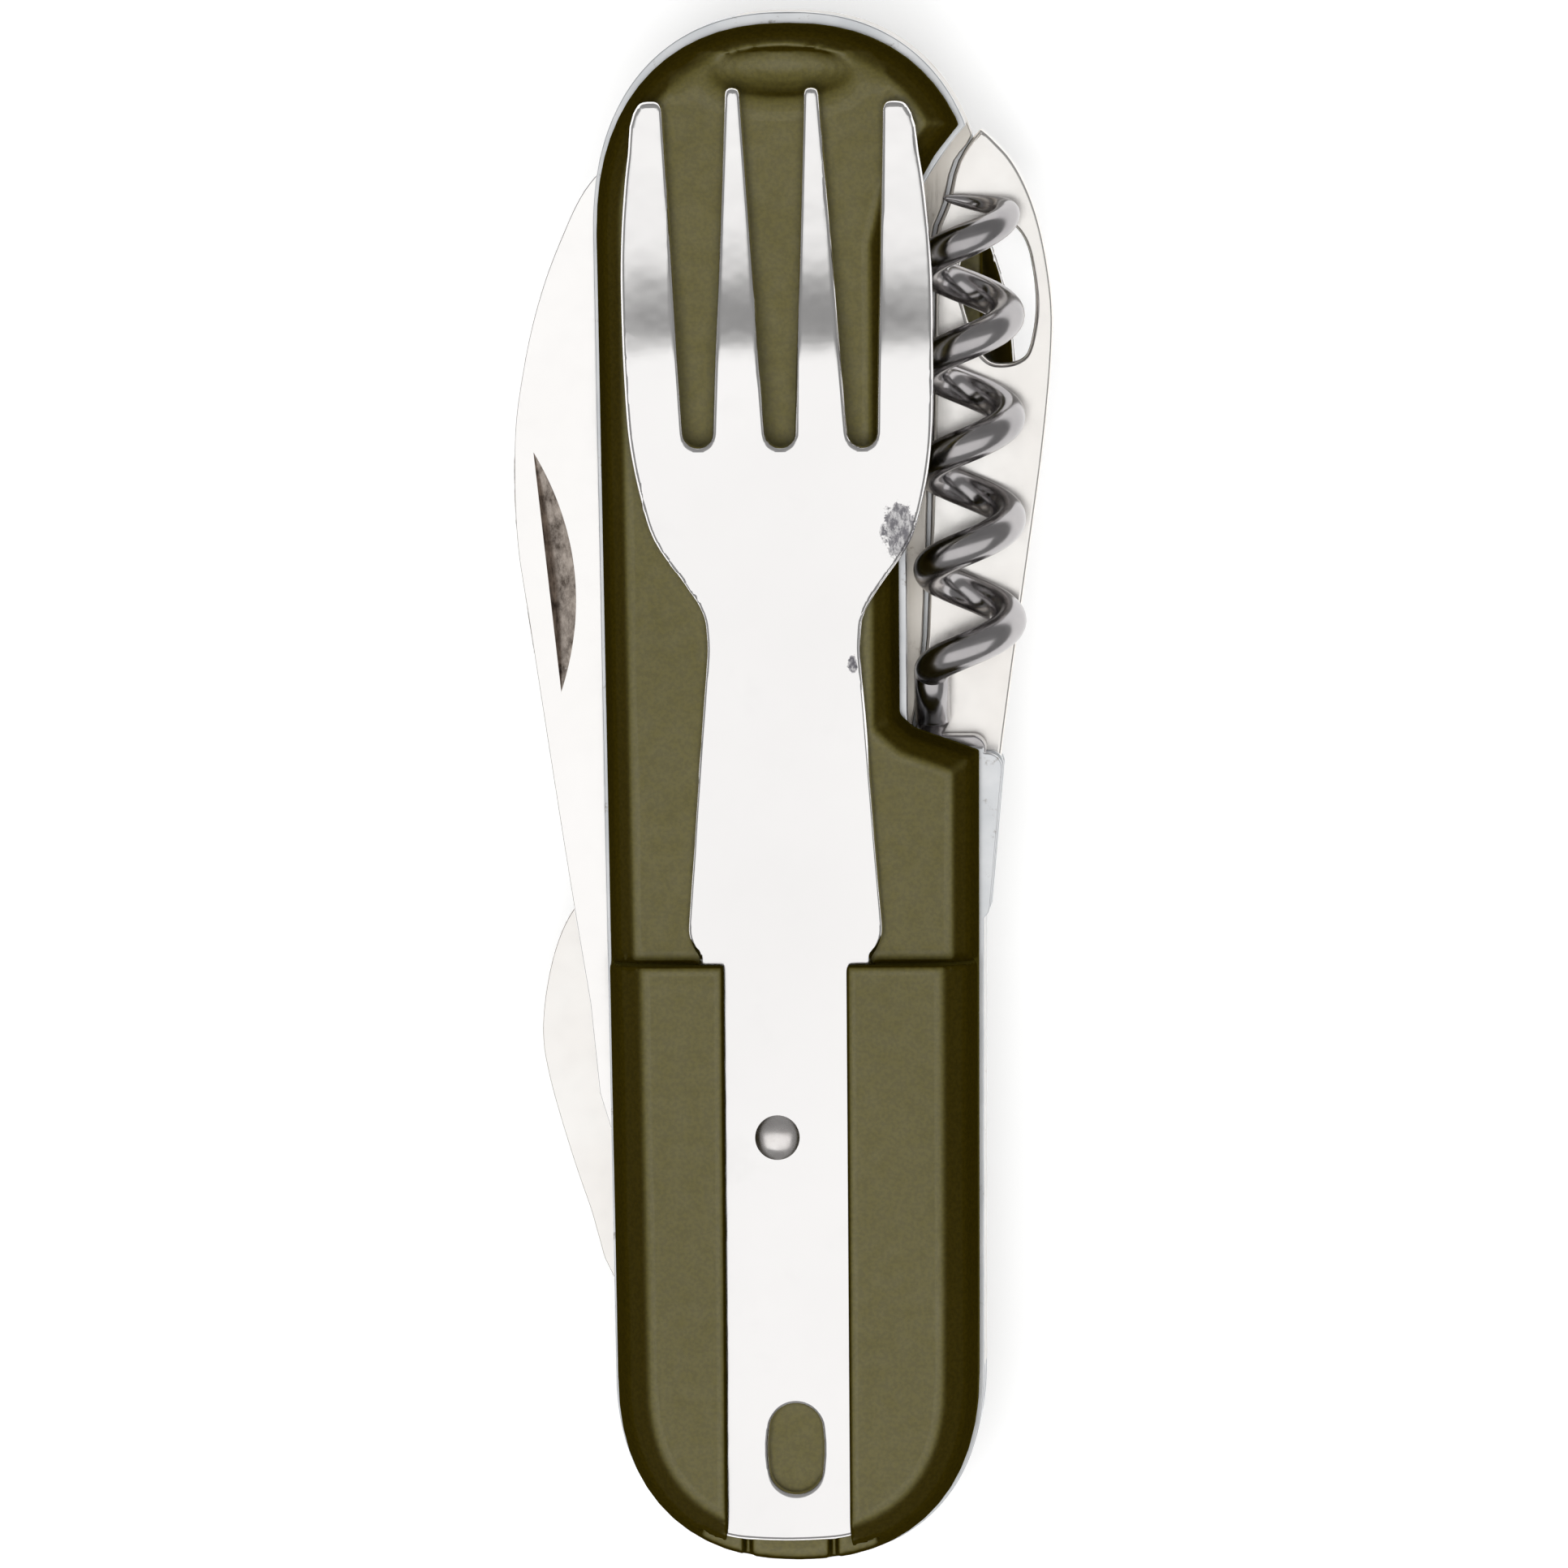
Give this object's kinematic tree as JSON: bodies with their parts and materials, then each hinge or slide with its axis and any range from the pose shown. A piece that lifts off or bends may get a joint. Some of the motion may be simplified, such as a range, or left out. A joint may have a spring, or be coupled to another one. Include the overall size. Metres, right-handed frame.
{
  "type": "folding picnic cutlery",
  "caption": "Folding picnic cutlery: an olive plastic handle with a slide-out fork and spoon, a knife, a can opener, a bottle opener and a corkscrew.",
  "frame": {"origin": "on the plane the closed cutlery lies on, under the middle of its box: the middle of its width and of its length", "axes": "+Y along the handle towards the tines, +Z out of the fork's side, +X across the handle towards the corkscrew"},
  "size_m": [0.0376, 0.1084, 0.025],
  "materials": {
    "olive_plastic": "fine moulded grain, satin",
    "liner_zinc": "thin zinc plating, bluish",
    "spring_steel": "ground along its edge, lightly stained",
    "pin_steel": "turned",
    "blade_steel": "fine satin, nearly polished",
    "dark_nickel": "dark bright nickel over wire",
    "cutlery_steel": "polished stainless sheet with fine scratches",
    "rivet_steel": "polished dome"
  },
  "bodies": {
    "handle": {"front_scale": "olive_plastic", "back_scale": "olive_plastic", "front_liner": "liner_zinc", "middle_liner": "liner_zinc", "back_liner": "liner_zinc", "knife_backspring": "spring_steel", "opener_backspring": "spring_steel", "blade_pivot_pin": "pin_steel", "tool_pivot_pin": "pin_steel", "spring_pin": "pin_steel", "top_pin": "pin_steel"},
    "knife": {"knife_blade": "blade_steel"},
    "can_tool": {"can_opener": "blade_steel"},
    "corkscrew": {"corkscrew_tang": "dark_nickel", "corkscrew_worm": "dark_nickel"},
    "bottle_tool": {"bottle_opener": "blade_steel"},
    "fork_body": {"fork": "cutlery_steel", "fork_rivet": "rivet_steel"},
    "spoon_body": {"spoon": "cutlery_steel", "spoon_rivet": "rivet_steel"}
  },
  "joints": [
    {"name": "knife_hinge", "type": "hinge", "parent": "handle", "child": "knife", "pos_m": [0.00218, -0.04595, 0.015], "axis": [0, 0, 1], "range_deg": [0, 180]},
    {"name": "can_opener_hinge", "type": "hinge", "parent": "handle", "child": "can_tool", "pos_m": [0.00218, -0.04595, 0.015], "axis": [0, 0, 1], "range_deg": [0, 180]},
    {"name": "corkscrew_hinge", "type": "hinge", "parent": "handle", "child": "corkscrew", "pos_m": [0.01083, -0.00375, 0.015], "axis": [0, 0, -1], "range_deg": [0, 90]},
    {"name": "bottle_opener_hinge", "type": "hinge", "parent": "handle", "child": "bottle_tool", "pos_m": [0.01083, -0.00375, 0.015], "axis": [0, 0, -1], "range_deg": [0, 90]},
    {"name": "fork_slide", "type": "slide", "parent": "handle", "child": "fork_body", "axis": [0, 1, 0], "range_m": [0, 0.11]},
    {"name": "spoon_slide", "type": "slide", "parent": "handle", "child": "spoon_body", "axis": [0, 1, 0], "range_m": [0, 0.11]}
  ]
}
